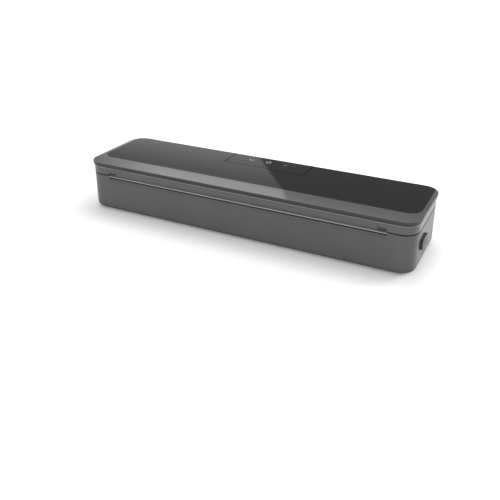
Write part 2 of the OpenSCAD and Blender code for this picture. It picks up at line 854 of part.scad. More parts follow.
module lid_shell() {
    color([0.33, 0.33, 0.34]) difference() {
        union() {
            difference() {
                body_slab(corner_r, lid_z, lid_top, 0, lid_edge_r);
                body_slab(inner_r, lid_z - past, skin_low);
                slot_relief();
                shadow_line();
                // relief that lets the lower rear edge swing past the housing
                translate([0, hinge_y, hinge_z]) rod_x(-end_x, end_x, swing_r);
                for (side = [-1, 1], ear = [-1, 1])
                    translate([side * hinge_x + ear * (barrel_w / 2 + fit + ear_w / 2), hinge_y, hinge_z])
                        rod_x(-ear_w / 2 - fit, ear_w / 2 + fit, knuckle_r + fit);
            }
            at_hinges() lid_barrel();
            at_each(lid_screws_at) translate([0, 0, liner_top])
                cylinder(h = skin_low - liner_top + eps, r = lid_post_r);
        }
        at_each(lid_screws_at) translate([0, 0, liner_z])
            cylinder(h = lid_top - lid_skin - liner_z, r = screw_r + running);
        for (k = [-1:1]) translate([k * key_pitch, keys_y, skin_low - past])
            cylinder(h = wall + 2 * past, r = pad_r + fit);
    }
}

module panel_outline(grow) {
    // straight to the back edge, rounded at the front corners
    w = 2 * (corner_x + plate_r - side_band + grow);
    y0 = front_y - overhang + front_band - grow;
    r = panel_corner_r;
    intersection() {
        outline(flat_r + grow);
        translate([0, y0]) {
            translate([-w / 2, r]) square([w, body_d]);
            translate([-w / 2 + r, 0]) square([w - 2 * r, body_d]);
            for (side = [-1, 1]) translate([side * (w / 2 - r), r]) circle(r);
        }
    }
}

module strip_outline(grow) {
    translate([-strip_w / 2 - grow, strip_y - strip_d / 2 - grow])
        square([strip_w + 2 * grow, strip_d + 2 * grow]);
}

module top_plate() {
    color([0.42, 0.42, 0.43]) difference() {
        body_slab(plate_r, lid_top, plate_top, plate_under_r, plate_edge_r);
        plan(plate_top - panel_t, plate_top + past) panel_outline(panel_fit);
        for (k = [-1:1]) translate([k * key_pitch, keys_y, lid_top - past])
            cylinder(h = plate_t + 2 * past, r = pad_r + fit);
    }
}

module gloss_panel() {
    color([0.1, 0.1, 0.1]) plan(plate_top - panel_t, plate_top) difference() {
        panel_outline(0);
        strip_outline(groove_w);
    }
}

module control_panel() {
    color([0.12, 0.12, 0.13]) plan(plate_top - panel_t, plate_top) intersection() {
        strip_outline(0);
        outline(flat_r);
    }
}

module control_board() {
    color([0.1, 0.35, 0.2]) translate([0, keys_y, board_top - board_t])
        slab([3 * key_pitch + board_over, board_d, board_t], [0, 0, 0]);
}

module touch_pads() {
    color([0.2, 0.2, 0.2]) for (k = [-1:1])
        translate([k * key_pitch, keys_y, board_top])
            cylinder(h = plate_top - panel_t - board_top, r = pad_r);
}

module lid_liner() {
    dome_top = skin_low - dome_gap;
    color([0.28, 0.28, 0.29]) difference() {
        union() {
            plan(liner_z, liner_top) outline(inner_r - seat);
            plan(liner_z, dome_top) trough_outline(dome_wall);
        }
        plan(liner_z - past, dome_top - dome_roof) trough_outline(0);
        plan(liner_z - past, liner_z + groove_h) gasket_outline(seat);
        plan(liner_z - past, liner_z + groove_h) bar_outline(seat);
        hinge_notch(liner_z - past, liner_top + past);
        both_ends() hook_window(seat);
        at_each(lid_screws_at) translate([0, 0, liner_z - past])
            cylinder(h = liner_t + 2 * past, r = screw_r + fit);
    }
}

module upper_gasket() {
    color([0.12, 0.12, 0.12]) plan(gasket_top + fit, liner_z + groove_h) gasket_outline();
}

module pressure_strip() {
    color([0.3, 0.3, 0.3]) plan(tape_top + fit, liner_z + groove_h) bar_outline(0);
}

// Window in the liner that the hook goes through
module hook_window(grow) {
    translate([hook_x - hook_nose - grow, button_y - hook_w / 2 - grow, liner_z - past])
        cube([hook_nose + hook_t + 2 * grow, hook_w + 2 * grow, liner_t + 2 * past]);
}

// Hook under the right end of the lid; its nose points to the middle
module latch_hook() {
    along_y(button_y - hook_w / 2, button_y + hook_w / 2)
        polygon([[hook_x + hook_t, liner_top + eps], [hook_x + hook_t, hook_low + hook_chamfer],
                 [hook_x + hook_t - hook_chamfer, hook_low], [hook_x, hook_low],
                 [hook_x - hook_nose, hook_low + hook_nose_t - hook_tip],
                 [hook_x - hook_nose, hook_low + hook_nose_t], [hook_x, hook_low + hook_nose_t],
                 [hook_x, liner_top + eps]]);
    translate([hook_x - hook_foot_in, button_y - hook_w / 2 - hook_foot_out, liner_top])
        cube([hook_foot_in + hook_t + hook_foot_out, hook_w + 2 * hook_foot_out, hook_foot_t]);
}

module lid_screws() {
    color([0.6, 0.6, 0.62]) at_each(lid_screws_at) translate([0, 0, liner_z - eps])
        screw(lid_screw_l);
}

// ---------- latches ----------

module release_button() {
    difference() {
        union() {
            translate([button_inner_x - eps, button_y, button_z]) rotate([90, 0, 90])
                rounded_slab(button_w / 2 - button_r, button_h / 2 - button_r, button_r,
                             0, end_x + button_proud - button_inner_x + eps, 0, button_edge_r);
            translate([button_inner_x - flange_t, button_y - button_w / 2 - flange_side,
                       button_z - button_h / 2 - flange_low])
                cube([flange_t, button_w + 2 * flange_side, button_h + flange_low - flange_drop]);
        }
        // finger grooves
        for (k = [-1:1])
            translate([end_x + button_proud + ridge_out, button_y + ridge_pitch * k, button_z - button_h / 4])
                cylinder(h = button_h / 2, r = ridge_r);
    }
}

module latch_slider() {
    translate([slider_x0, button_y - slider_w / 2, slider_z])
        cube([slider_x1 - slider_x0, slider_w, slider_t]);
    along_y(button_y - hook_w / 2 - catch_over, button_y + hook_w / 2 + catch_over)
        polygon([[post_x1 - post_t, slider_z + slider_t - eps], [post_x1, slider_z + slider_t - eps],
                 [post_x1, catch_low], [catch_x, catch_low], [catch_x, catch_low + catch_tip],
                 [post_x1, catch_low + catch_t], [post_x1 - post_t, catch_low + catch_t]]);
    translate([post_x1 - post_t - pip_l, button_y, spring_z]) rotate([0, 90, 0])
        cylinder(h = pip_l + eps, r = pip_r);
}

// Coil spring between the cage and the slider's post, as one swept tube
module latch_spring() {
    x0 = cage_x0 + cage_wall + spring_wire_r;
    x1 = post_x1 - post_t - spring_wire_r;
    sides = 6;
    turn_steps = 14;
    steps = turn_steps * spring_turns;
    coil_r = spring_r - spring_wire_r;
    function at(i, k) =
        let (a = 360 * spring_turns * i / steps, b = 360 * k / sides,
             rr = coil_r + spring_wire_r * cos(b))
        [x0 + (x1 - x0) * i / steps + spring_wire_r * sin(b), rr * cos(a), rr * sin(a)];
    points = [for (i = [0:steps], k = [0:sides - 1]) at(i, k)];
    side_faces = [for (i = [0:steps - 1], k = [0:sides - 1])
        [i * sides + k, i * sides + (k + 1) % sides, (i + 1) * sides + (k + 1) % sides, (i + 1) * sides + k]];
    start_face = [[for (k = [sides - 1:-1:0]) k]];
    end_face = [[for (k = [0:sides - 1]) steps * sides + k]];
    translate([0, button_y, spring_z]) polyhedron(points, concat(side_faces, start_face, end_face));
}

module latch_hook_right() { color([0.25, 0.25, 0.26]) latch_hook(); }
module latch_hook_left() { color([0.25, 0.25, 0.26]) mirror([1, 0, 0]) latch_hook(); }
module release_button_right() { color([0.2, 0.2, 0.21]) release_button(); }
module release_button_left() { color([0.2, 0.2, 0.21]) mirror([1, 0, 0]) release_button(); }
module latch_slider_right() { color([0.85, 0.85, 0.83]) latch_slider(); }
module latch_slider_left() { color([0.85, 0.85, 0.83]) mirror([1, 0, 0]) latch_slider(); }
module latch_spring_right() { color([0.7, 0.7, 0.72]) latch_spring(); }
module latch_spring_left() { color([0.7, 0.7, 0.72]) mirror([1, 0, 0]) latch_spring(); }

base_housing();
deck();
bag_lip();
lower_gasket();
heater_bar();
heating_ribbon();
release_tape();
suction_port();
vacuum_hose();
pump_head();
pump_crank();
pump_motor();
pump_bracket();
release_valve();
transformer_core();
transformer_coil();
power_board();
board_components();
lid_switch();
switch_plunger();
cord_gland();
rubber_feet();
deck_screws();
hinge_pins();
lid_shell();
top_plate();
gloss_panel();
control_panel();
control_board();
touch_pads();
lid_liner();
upper_gasket();
pressure_strip();
latch_hook_left();
latch_hook_right();
lid_screws();
release_button_left();
release_button_right();
latch_slider_left();
latch_slider_right();
latch_spring_left();
latch_spring_right();
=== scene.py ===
import math

import bmesh
import bpy
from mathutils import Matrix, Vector


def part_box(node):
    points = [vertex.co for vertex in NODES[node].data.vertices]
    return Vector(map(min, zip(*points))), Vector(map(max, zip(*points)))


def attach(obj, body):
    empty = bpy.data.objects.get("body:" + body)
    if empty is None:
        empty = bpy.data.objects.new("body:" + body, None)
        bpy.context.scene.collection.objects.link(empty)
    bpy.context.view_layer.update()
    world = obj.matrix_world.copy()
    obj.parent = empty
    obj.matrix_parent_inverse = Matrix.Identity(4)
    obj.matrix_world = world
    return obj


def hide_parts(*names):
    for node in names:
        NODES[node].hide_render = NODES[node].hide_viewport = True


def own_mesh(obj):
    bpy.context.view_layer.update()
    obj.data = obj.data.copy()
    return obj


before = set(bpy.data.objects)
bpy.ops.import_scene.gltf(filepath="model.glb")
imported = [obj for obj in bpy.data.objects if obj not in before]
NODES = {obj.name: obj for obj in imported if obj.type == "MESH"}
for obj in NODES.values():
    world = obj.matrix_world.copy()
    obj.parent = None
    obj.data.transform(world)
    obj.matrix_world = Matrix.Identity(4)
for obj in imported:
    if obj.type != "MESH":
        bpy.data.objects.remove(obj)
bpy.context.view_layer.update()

MM = 0.001
SCENE = bpy.context.scene

# ---------------------------------------------------------------- camera

# Fitted to the photograph: direction, distance, lens and the offset across the view
AZIMUTH = math.radians(26.7228)
ELEVATION = math.radians(24.0516)
DISTANCE = 696.450 * MM
AIM = Vector((0, 0, 25 * MM))
SIDEWAYS = -5.1956 * MM
UPWARD = -4.9620 * MM
LENS = 46.2146
SENSOR = 36.0
SHIFT_Y = -0.09
CLIP = (0.01, 100)

BACKWARD = Vector((
    math.sin(AZIMUTH) * math.cos(ELEVATION),
    -math.cos(AZIMUTH) * math.cos(ELEVATION),
    math.sin(ELEVATION),
))
RIGHTWARD = Vector((math.cos(AZIMUTH), math.sin(AZIMUTH), 0))
EYE = AIM + DISTANCE * BACKWARD + SIDEWAYS * RIGHTWARD + UPWARD * BACKWARD.cross(RIGHTWARD)


def make_camera():
    data = bpy.data.cameras.new("camera")
    data.lens = LENS
    data.sensor_width = SENSOR
    data.shift_y = SHIFT_Y
    data.clip_start, data.clip_end = CLIP
    cam = bpy.data.objects.new("camera", data)
    cam.location = EYE
    cam.rotation_mode = "QUATERNION"
    cam.rotation_quaternion = (-BACKWARD).to_track_quat("-Z", "Y")
    SCENE.collection.objects.link(cam)
    SCENE.camera = cam


# ---------------------------------------------------------------- sizes

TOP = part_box("top_plate")[1].z
CORNER_R = 15.5 * MM        # upright corners of the lid wall
ARC_STEPS = 10              # points along a rounded corner
SLOT_HALF = 158.5 * MM      # half length of the bag slot
SKIN = 0.05 * MM            # what a crowned piece keeps off the walls beside it

# Where a finish or a painted shade changes
EDGE_DROP = 0.12 * MM       # coated face of the top plate, from its top down; the edge below it is painted darker as shade
SCUFF_TOP = 7 * MM          # duller foot of the housing
SCUFF_BLUR = 2 * MM
SCOOP_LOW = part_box("base_housing")[1].z - 6.5 * MM
SCOOP_DEPTH = 0.3 * MM      # depth at which the scoop's painted shade is full
SCOOP_START = 0.2 * SCOOP_DEPTH
SEAM_TOP = 43.42 * MM       # top of the shadow line between housing and lid, below which shade is painted on the lid wall
HINGE_Y = 42 * MM           # hinge barrels stand behind it, and the slot's faces as far in front

# Foam gaskets
GASKET_W = 4 * MM
GASKET_R = 11 * MM          # outer corners in plan
FOAM_CROWN = 0.6 * MM
FOAM_WAVE = 0.05 * MM       # how far the crown wanders along the ring
CROWN_STEPS = 10
CROWN_POWER = 0.8           # under 1 fills the shoulders of a crown

# Silicone pressure pad
SILICONE_CROWN = 0.9 * MM
SILICONE_WAVE = 0.03 * MM
SILICONE_END = 1.5 * MM
END_TAPER = 0.25            # share of the width that a rounded end loses

# Foam key pads
KEY_R = 3.5 * MM
KEY_CROWN = 0.35 * MM
KEY_POWER = 0.5             # under 1 fills the sides towards the ends
KEY_ROWS = 12
KEY_STEPS = 32

# Release tape over the ribbon
TAPE_STEPS = 16
TAPE_THINNER = 0.02 * MM    # what the strap gives up of the tape's thickness
TAPE_LIFT = 0.03 * MM       # how far its edges stay above the bar
TAPE_SLOPE = 1.6            # over 1 lays it flat before its edge

# Bead under the overhang of the top plate; its light grey is a painted highlight
BEAD_R = 0.5 * MM
BEAD_OUT = 0.2 * MM
BEAD_DROP = 0.6 * MM
BEAD_STEPS = 12

# Dark plugs at the slot's ends, painted shade where its recess ends; rows are (depth behind the lid wall's
# face, share of the outline)
SHADE_PLUG_X = 153 * MM
SHADE_PLUG_Z = 44.8 * MM
SHADE_PLUG_R = 1.7 * MM
SHADE_PLUG_HALF = 3.0 * MM        # half length of the straight part
SHADE_PLUG_STEPS = 30
SHADE_PLUG_ROWS = ((1.2 * MM, 1.0), (0.1 * MM, 1.0), (-0.02 * MM, 0.95), (-0.08 * MM, 0.85),
             (-0.1 * MM, 0.7))

# Latch springs
WIRE_R = 0.35 * MM
WIRE_SIDES = 8
COIL_TURNS = 7
TURN_STEPS = 20

# Printed marks on the control strip
PRINT_T = 0.02 * MM
MARK_SHIFT = -1.2 * MM      # X of the middle mark
MARK_STEPS = 32
BOWL = (2.7 * MM, 2.4 * MM)  # half width and half depth, as for the ring and the dot
BOWL_T = 0.9 * MM
BOWL_FROM = 170             # degrees
BOWL_SWEEP = 200
BOWL_STEPS = 20
RING = (3.1 * MM, 3.0 * MM)
RING_HOLE = (2.3 * MM, 2.2 * MM)
RING_POWER = 1.3            # over 1 draws the loop towards a diamond
DOT = (1.5 * MM, 1.5 * MM)
DOT_HOLE = (0.7 * MM, 0.7 * MM)
DOT_SHIFT = -0.6 * MM


def middle_of(node):
    low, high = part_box(node)
    return (low + high) / 2


# ---------------------------------------------------------------- node trees


class Graph:
    """Shorthand for adding and joining the nodes of a material or world."""

    def __init__(self, owner):
        owner.use_nodes = True
        self.nodes = owner.node_tree.nodes
        self.links = owner.node_tree.links

    def add(self, kind, **values):
        """Adds a node; text sets one of its own properties, and anything else an input."""
        node = self.nodes.new(kind)
        for key, value in values.items():
            if isinstance(value, str):
                setattr(node, key, value)
            else:
                node.inputs[key].default_value = value
        return node

    def feed(self, socket, value):
        """Links the input to another node's output, or sets its value."""
        if isinstance(value, bpy.types.NodeSocket):
            self.links.new(value, socket)
        else:
            socket.default_value = value

    def span(self, value, low, high, to_low, to_high):
        node = self.add("ShaderNodeMapRange")
        for key, number in (("From Min", low), ("From Max", high), ("To Min", to_low), ("To Max", to_high)):
            node.inputs[key].default_value = number
        self.feed(node.inputs["Value"], value)
        return node.outputs["Result"]

    def maths(self, operation, first, second=0.0, clamp=False):
        node = self.add("ShaderNodeMath", operation=operation)
        node.use_clamp = clamp
        self.feed(node.inputs[0], first)
        self.feed(node.inputs[1], second)
        return node.outputs["Value"]

    def vector(self, operation, first, second=(0, 0, 0)):
        """Vector maths; a length or a product comes out as a number."""
        node = self.add("ShaderNodeVectorMath", operation=operation)
        self.feed(node.inputs[0], first)
        self.feed(node.inputs[1], second)
        return node.outputs["Value" if operation in ("LENGTH", "DOT_PRODUCT") else "Vector"]

    def seen(self):
        """1 on camera, glossy and transmission rays, and 0 on the others."""
        path = self.add("ShaderNodeLightPath")
        total = path.outputs["Is Camera Ray"]
        for other in ("Is Glossy Ray", "Is Transmission Ray"):
            total = self.maths("ADD", total, path.outputs[other], clamp=True)
        return total


# Noise spans about this much of 0 to 1
NOISE_LOW = 0.3
NOISE_HIGH = 0.7

SHEEN_SPREAD = 0.03         # how far a moulding's roughness wanders
PAINTED_RECESS_SHADE = 0.12         # share of its colour that a wall keeps where shade is painted into a recess


class Shader(Graph):
    """A node material built round one Principled BSDF."""

    def __init__(self, name):
        self.mat = bpy.data.materials.new(name)
        super().__init__(self.mat)
        self.bsdf = self.nodes["Principled BSDF"]
        self.where = self.add("ShaderNodeTexCoord").outputs["Object"]
        self.normal = None

    def set(self, **values):
        for key, value in values.items():
            self.bsdf.inputs[key.replace("_", " ")].default_value = value

    def stretch(self, scale):
        """Object coordinates scaled by a triple."""
        node = self.add("ShaderNodeMapping", Scale=scale)
        self.feed(node.inputs["Vector"], self.where)
        return node.outputs["Vector"]

    def axes(self):
        """Outputs X, Y and Z of the object coordinates."""
        node = self.add("ShaderNodeSeparateXYZ")
        self.feed(node.inputs["Vector"], self.where)
        return node.outputs

    def noise(self, scale, detail=3.0, rough=0.55, vector=None):
        node = self.add("ShaderNodeTexNoise", Scale=scale, Detail=detail, Roughness=rough)
        self.feed(node.inputs["Vector"], vector or self.where)
        return node.outputs["Fac"]

    def cells(self, scale, vector=None):
        node = self.add("ShaderNodeTexVoronoi", Scale=scale)
        self.feed(node.inputs["Vector"], vector or self.where)
        return node.outputs["Distance"]

    def wave(self, scale, direction):
        node = self.add("ShaderNodeTexWave", Scale=scale, bands_direction=direction, wave_profile="SIN")
        self.feed(node.inputs["Vector"], self.where)
        return node.outputs["Fac"]

    def ramp(self, value, *stops):
        """A colour by a value; each stop is (place, colour)."""
        node = self.add("ShaderNodeValToRGB")
        while len(node.color_ramp.elements) < len(stops):
            node.color_ramp.elements.new(0.5)
        for element, (at, colour) in zip(node.color_ramp.elements, stops):
            element.position = at
            element.color = (*colour, 1)
        self.feed(node.inputs["Fac"], value)
        return node.outputs["Color"]

    def mottle(self, cloud, colour, darker, lighter):
        """The colour times darker where the noise is low, and times lighter where it is high."""
        return self.ramp(cloud, (NOISE_LOW, shade(colour, darker)), (NOISE_HIGH, shade(colour, lighter)))

    def mix_colour(self, mask, below, above):
        """Joins two colours, each a triple or a socket, by a mask."""
        node = self.add("ShaderNodeMix", data_type="RGBA")
        self.feed(node.inputs["Factor"], mask)
        # A Mix node has a pair of inputs for each data type; these are the colour ones
        for socket, value in ((node.inputs[6], below), (node.inputs[7], above)):
            self.feed(socket, (*value, 1) if isinstance(value, tuple) else value)
        return node.outputs[2]

    def height_mask(self, split, blur=0.05 * MM):
        """0 below the height split and 1 above it."""
        return self.span(self.axes()["Z"], split - blur, split + blur, 0, 1)

    def painted_scoop_shade_mask(self):
        """1 where shade is painted: on what lies deep enough behind the housing's front face, above the
        scoop's foot.
        """
        axes = self.axes()
        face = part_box("base_housing")[0].y
        deep = self.span(axes["Y"], face + SCOOP_START, face + SCOOP_DEPTH, 0, 1)
        high = self.maths("GREATER_THAN", axes["Z"], SCOOP_LOW)
        near = self.maths("LESS_THAN", self.maths("ABSOLUTE", axes["X"]), SLOT_HALF)
        return self.maths("MULTIPLY", deep, self.maths("MULTIPLY", high, near))

    def painted_seam_shade_mask(self):
        """1 where shade is painted on the lid wall's shadow line, but for the slot in front and the hinges
        behind.
        """
        axes = self.axes()
        low = self.maths("LESS_THAN", axes["Z"], SEAM_TOP)
        aside = self.maths("GREATER_THAN", self.maths("ABSOLUTE", axes["X"]), SLOT_HALF)
        behind = self.maths("GREATER_THAN", axes["Y"], -HINGE_Y)
        ahead = self.maths("LESS_THAN", axes["Y"], HINGE_Y)
        where = self.maths("MULTIPLY", ahead, self.maths("MAXIMUM", aside, behind))
        return self.maths("MULTIPLY", low, where)

    def paint(self, colour):
        self.feed(self.bsdf.inputs["Base Color"], colour)

    def roughen(self, cloud, low, high):
        self.feed(self.bsdf.inputs["Roughness"], self.span(cloud, NOISE_LOW, NOISE_HIGH, low, high))

    def relief(self, height, strength, depth):
        """Lays one more relief over those that are there; depth is in metres."""
        node = self.add("ShaderNodeBump", Strength=strength, Distance=depth)
        self.feed(node.inputs["Height"], height)
        if self.normal is not None:
            self.feed(node.inputs["Normal"], self.normal)
        self.normal = node.outputs["Normal"]
        self.feed(self.bsdf.inputs["Normal"], self.normal)

    def moulded_relief(self):
        """The fine eroded grain of a mould, and the slow sinks of a wide wall."""
        self.relief(self.noise(2600, detail=2), strength=0.35, depth=0.02 * MM)
        self.relief(self.noise(22, detail=2), strength=0.06, depth=0.2 * MM)

    def polished_relief(self, strength):
        """The faint waviness that a polished mould leaves."""
        self.relief(self.noise(14, detail=2), strength, depth=0.4 * MM)


# ---------------------------------------------------------------- materials


def grey(level):
    return (level, level, level)


def shade(colour, factor):
    return tuple(part * factor for part in colour)


def plastic(name, colour, rough, **extra):
    """Moulded plastic: a fine eroded grain, faint mottling and an uneven sheen."""
    made = Shader(name)
    made.paint(made.mottle(made.noise(38, detail=4), colour, 0.95, 1.05))
    made.roughen(made.noise(120), rough - SHEEN_SPREAD, rough + SHEEN_SPREAD)
    made.moulded_relief()
    made.set(**extra)
    return made.mat


def lacquer(name, colour, rough, wobble, **extra):
    """A glossy moulding, nearly flat."""
    made = Shader(name)
    made.paint(made.mottle(made.noise(30), colour, 0.94, 1.06))
    made.roughen(made.noise(60, detail=2), rough * 0.8, rough * 1.2)
    made.polished_relief(wobble)
    made.set(**extra)
    return made.mat


def lacquer_with_painted_shade_edge(name, top, top_rough, edge, edge_rough, split):
    """Coated lacquer with a fine fleck above the height split, and a plain satin edge below it whose darker
    colour is painted shade.
    """
    made = Shader(name)
    mask = made.height_mask(split)
    fleck = made.span(made.cells(2600), 0, 1, -0.15, 0.15)
    face = made.mottle(made.maths("ADD", made.noise(30), fleck), top, 0.95, 1.05)
    made.paint(made.mix_colour(mask, edge, face))
    made.feed(made.bsdf.inputs["Roughness"], made.span(mask, 0, 1, edge_rough, top_rough))
    made.feed(made.bsdf.inputs["Coat Weight"], mask)
    made.polished_relief(0.02)
    made.set(Coat_Roughness=0.05, Coat_IOR=1.7)
    return made.mat


def moulded_wall(made, colour, rough, dark, dull):
    """Finishes a moulded wall with painted shade where the mask dark is 1, and duller by the value dull."""
    face = made.mottle(made.noise(38, detail=4), colour, 0.95, 1.05)
    # The darker colour where dark is 1 is painted shade
    made.paint(made.mix_colour(dark, face, shade(colour, PAINTED_RECESS_SHADE)))
    sheen = made.span(made.noise(120), NOISE_LOW, NOISE_HIGH, rough - SHEEN_SPREAD, rough + SHEEN_SPREAD)
    made.feed(made.bsdf.inputs["Roughness"], made.maths("ADD", sheen, dull))
    made.moulded_relief()
    return made.mat


def housing(name, colour, rough, coarser):
    """Moulded housing: shade is painted dark into the scoop under the slot, which is coarse too, and the foot
    is coarse.
    """
    made = Shader(name)
    # Painted shade in the scoop under the lip of the bag slot
    dark = made.painted_scoop_shade_mask()
    foot = made.maths("SUBTRACT", 1.0, made.height_mask(SCUFF_TOP, SCUFF_BLUR))
    coarse = made.maths("MAXIMUM", dark, foot)
    return moulded_wall(made, colour, rough, dark, made.maths("MULTIPLY", coarse, coarser))


def lid_wall(name, colour, rough, coarser):
    """Moulded lid wall whose coarse shadow line is darkened with painted shade."""
    made = Shader(name)
    # Painted shade in the recess between lid and housing
    dark = made.painted_seam_shade_mask()
    return moulded_wall(made, colour, rough, dark, made.maths("MULTIPLY", dark, coarser))


def rubber(name, colour, rough):
    made = Shader(name)
    cloud = made.noise(160, detail=4)
    made.paint(made.mottle(cloud, colour, 0.85, 1.2))
    made.roughen(cloud, rough - 0.06, rough + 0.06)
    made.relief(made.noise(1500), strength=0.5, depth=0.04 * MM)
    return made.mat


def foam(name, colour):
    """Closed-cell foam: small open pores at the skin."""
    made = Shader(name)
    pore = made.cells(1400)
    made.paint(made.ramp(pore, (0.05, shade(colour, 0.45)), (0.4, colour), (0.9, shade(colour, 1.35))))
    made.relief(pore, strength=0.8, depth=0.15 * MM)
    made.relief(made.noise(300), strength=0.25, depth=0.2 * MM)
    made.set(Roughness=0.88, Sheen_Weight=0.15, Sheen_Roughness=0.5)
    return made.mat


def cloth_tape(name, colour):
    """Coated glass cloth: a fine plain weave under a waxy film."""
    made = Shader(name)
    weave = made.maths("MULTIPLY", made.wave(1100, "X"), made.wave(1100, "Y"))
    made.paint(made.ramp(weave, (0.1, shade(colour, 0.8)), (0.8, shade(colour, 1.1))))
    made.roughen(made.noise(90), 0.34, 0.46)
    made.relief(weave, strength=0.5, depth=0.05 * MM)
    made.relief(made.noise(40, detail=2), strength=0.2, depth=0.2 * MM)
    return made.mat


def metal(name, colour, rough, brush=(4, 4, 900)):
    """Bright metal with fine lines left by forming; brush is the lines' scale along each axis."""
    made = Shader(name)
    lines = made.noise(1, detail=5, rough=0.6, vector=made.stretch(brush))
    made.paint(made.mottle(lines, colour, 0.9, 1.05))
    made.roughen(lines, rough - 0.06, rough + 0.08)
    made.relief(lines, strength=0.15, depth=0.05 * MM)
    made.set(Metallic=1.0)
    return made.mat


def laminations(name, colour):
    """Stacked sheet steel seen on edge, with a film of varnish."""
    made = Shader(name)
    sheets = made.wave(320, "Y")
    made.paint(made.ramp(sheets, (0.15, shade(colour, 0.35)), (0.6, colour)))
    made.roughen(made.noise(200), 0.38, 0.55)
    made.relief(sheets, strength=0.6, depth=0.1 * MM)
    made.set(Metallic=0.85)
    return made.mat


def winding(name, colour):
    """Enamelled copper wire, turn beside turn."""
    made = Shader(name)
    turns = made.wave(400, "Z")
    made.paint(made.ramp(turns, (0.1, shade(colour, 0.3)), (0.7, colour)))
    made.roughen(made.noise(150, detail=2), 0.28, 0.4)
    made.relief(turns, strength=0.9, depth=0.3 * MM)
    made.set(Metallic=0.8, Coat_Weight=0.4)
    return made.mat


def circuit(name, colour):
    """A solder-masked board with faint tracks under the mask."""
    made = Shader(name)
    tracks = made.cells(150, made.stretch((1, 1, 0)))
    made.paint(made.ramp(tracks, (0.2, colour), (0.28, shade(colour, 1.7)), (0.34, colour)))
    made.roughen(made.noise(90, detail=2), 0.26, 0.36)
    made.relief(tracks, strength=0.15, depth=0.1 * MM)
    made.set(Coat_Weight=0.3)
    return made.mat


def silicone(name, colour, clear=0.0):
    made = Shader(name)
    cloud = made.noise(90)
    made.paint(made.mottle(cloud, colour, 0.9, 1.08))
    made.roughen(cloud, 0.38, 0.5)
    made.relief(made.noise(900, detail=2), strength=0.25, depth=0.04 * MM)
    made.set(Transmission_Weight=clear, Subsurface_Weight=0.1, Subsurface_Radius=(0.002, 0.0018, 0.0016))
    return made.mat


# Colours are linear; the number after a colour is its roughness
FINISH = {
    "housing": housing("housing", grey(0.078), 0.40, coarser=0.35),
    "lid_wall": lid_wall("lid_wall", grey(0.086), 0.36, coarser=0.3),
    # Light grey that paints the highlight along the lid wall's top edge
    "painted_highlight_bead": plastic("painted_highlight_bead", grey(0.20), 0.16, Coat_Weight=0.6, Coat_Roughness=0.08),
    "deck": plastic("deck", grey(0.030), 0.45),
    # The band's darker edge grey is painted shade under the top plate's rim
    "band": lacquer_with_painted_shade_edge("band", grey(0.066), 0.12, grey(0.022), 0.42, TOP - EDGE_DROP),
    "panel": lacquer("panel", grey(0.010), 0.035, wobble=0.01),
    "strip": lacquer("strip", grey(0.016), 0.045, wobble=0.012, Specular_IOR_Level=0.34),
    "button": plastic("button", grey(0.022), 0.36),
    "slider": plastic("slider", (0.55, 0.55, 0.53), 0.42),
    "lip": plastic("lip", grey(0.34), 0.26),
    "black": plastic("black", grey(0.018), 0.48),
    "red": plastic("red", (0.45, 0.03, 0.02), 0.35),
    "rubber": rubber("rubber", grey(0.02), 0.62),
    "foam": foam("foam", grey(0.035)),
    "print": plastic("print", grey(0.55), 0.45),
    "faint_print": plastic("faint_print", grey(0.16), 0.45),
    "silicone": silicone("silicone", grey(0.10)),
    "hose": silicone("hose", (0.72, 0.72, 0.68), clear=0.35),
    "tape": cloth_tape("tape", (0.34, 0.25, 0.16)),
    "ribbon": metal("ribbon", (0.62, 0.58, 0.52), 0.3, brush=(4, 900, 4)),
    "steel": metal("steel", (0.60, 0.60, 0.61), 0.30),
    "core": laminations("core", (0.42, 0.42, 0.44)),
    "copper": winding("copper", (0.80, 0.32, 0.12)),
    "board": circuit("board", (0.02, 0.16, 0.06)),
}

NODE_FINISH = {
    "base_housing": "housing", "lid_shell": "lid_wall",
    "deck": "deck", "lid_liner": "deck", "bag_lip": "lip",
    "top_plate": "band", "gloss_panel": "panel", "control_panel": "strip",
    "release_button_left": "button", "release_button_right": "button",
    "latch_slider_left": "slider", "latch_slider_right": "slider",
    "latch_hook_left": "black", "latch_hook_right": "black",
    "heater_bar": "black", "board_components": "black", "lid_switch": "black",
    "pump_bracket": "black", "pump_head": "black", "release_valve": "black", "suction_port": "black",
    "switch_plunger": "red",
    "cord_gland": "rubber", "rubber_feet": "rubber",
    "lower_gasket": "foam", "upper_gasket": "foam", "touch_pads": "foam",
    "pressure_strip": "silicone", "vacuum_hose": "hose", "release_tape": "tape",
    "heating_ribbon": "ribbon",
    "deck_screws": "steel", "lid_screws": "steel", "hinge_pins": "steel",
    "latch_spring_left": "steel", "latch_spring_right": "steel",
    "pump_crank": "steel", "pump_motor": "steel",
    "transformer_core": "core", "transformer_coil": "copper",
    "control_board": "board", "power_board": "board",
}


def dress_nodes():
    for name, finish in NODE_FINISH.items():
        NODES[name].material_slots[0].material = FINISH[finish]


# ---------------------------------------------------------------- mesh tools


def mesh_object(name, verts, faces, finish, smooth=True):
    mesh = bpy.data.meshes.new(name)
    mesh.from_pydata([tuple(v) for v in verts], [], faces)
    mesh.validate()
    mesh.update()
    for polygon in mesh.polygons:
        polygon.use_smooth = smooth
    obj = bpy.data.objects.new(name, mesh)
    obj.data.materials.append(finish)
    SCENE.collection.objects.link(obj)
    return obj


def solid_object(name, verts, faces, finish, smooth=True):
    """A mesh object of closed shells, its faces turned outward."""
    obj = mesh_object(name, verts, faces, finish, smooth)
    made = bmesh.new()
    made.from_mesh(obj.data)
    bmesh.ops.recalc_face_normals(made, faces=made.faces)
    made.to_mesh(obj.data)
    made.free()
    return obj


def circle(steps):
    """(cosine, sine) of evenly spaced angles."""
    for step in range(steps):
        angle = 2 * math.pi * step / steps
        yield math.cos(angle), math.sin(angle)


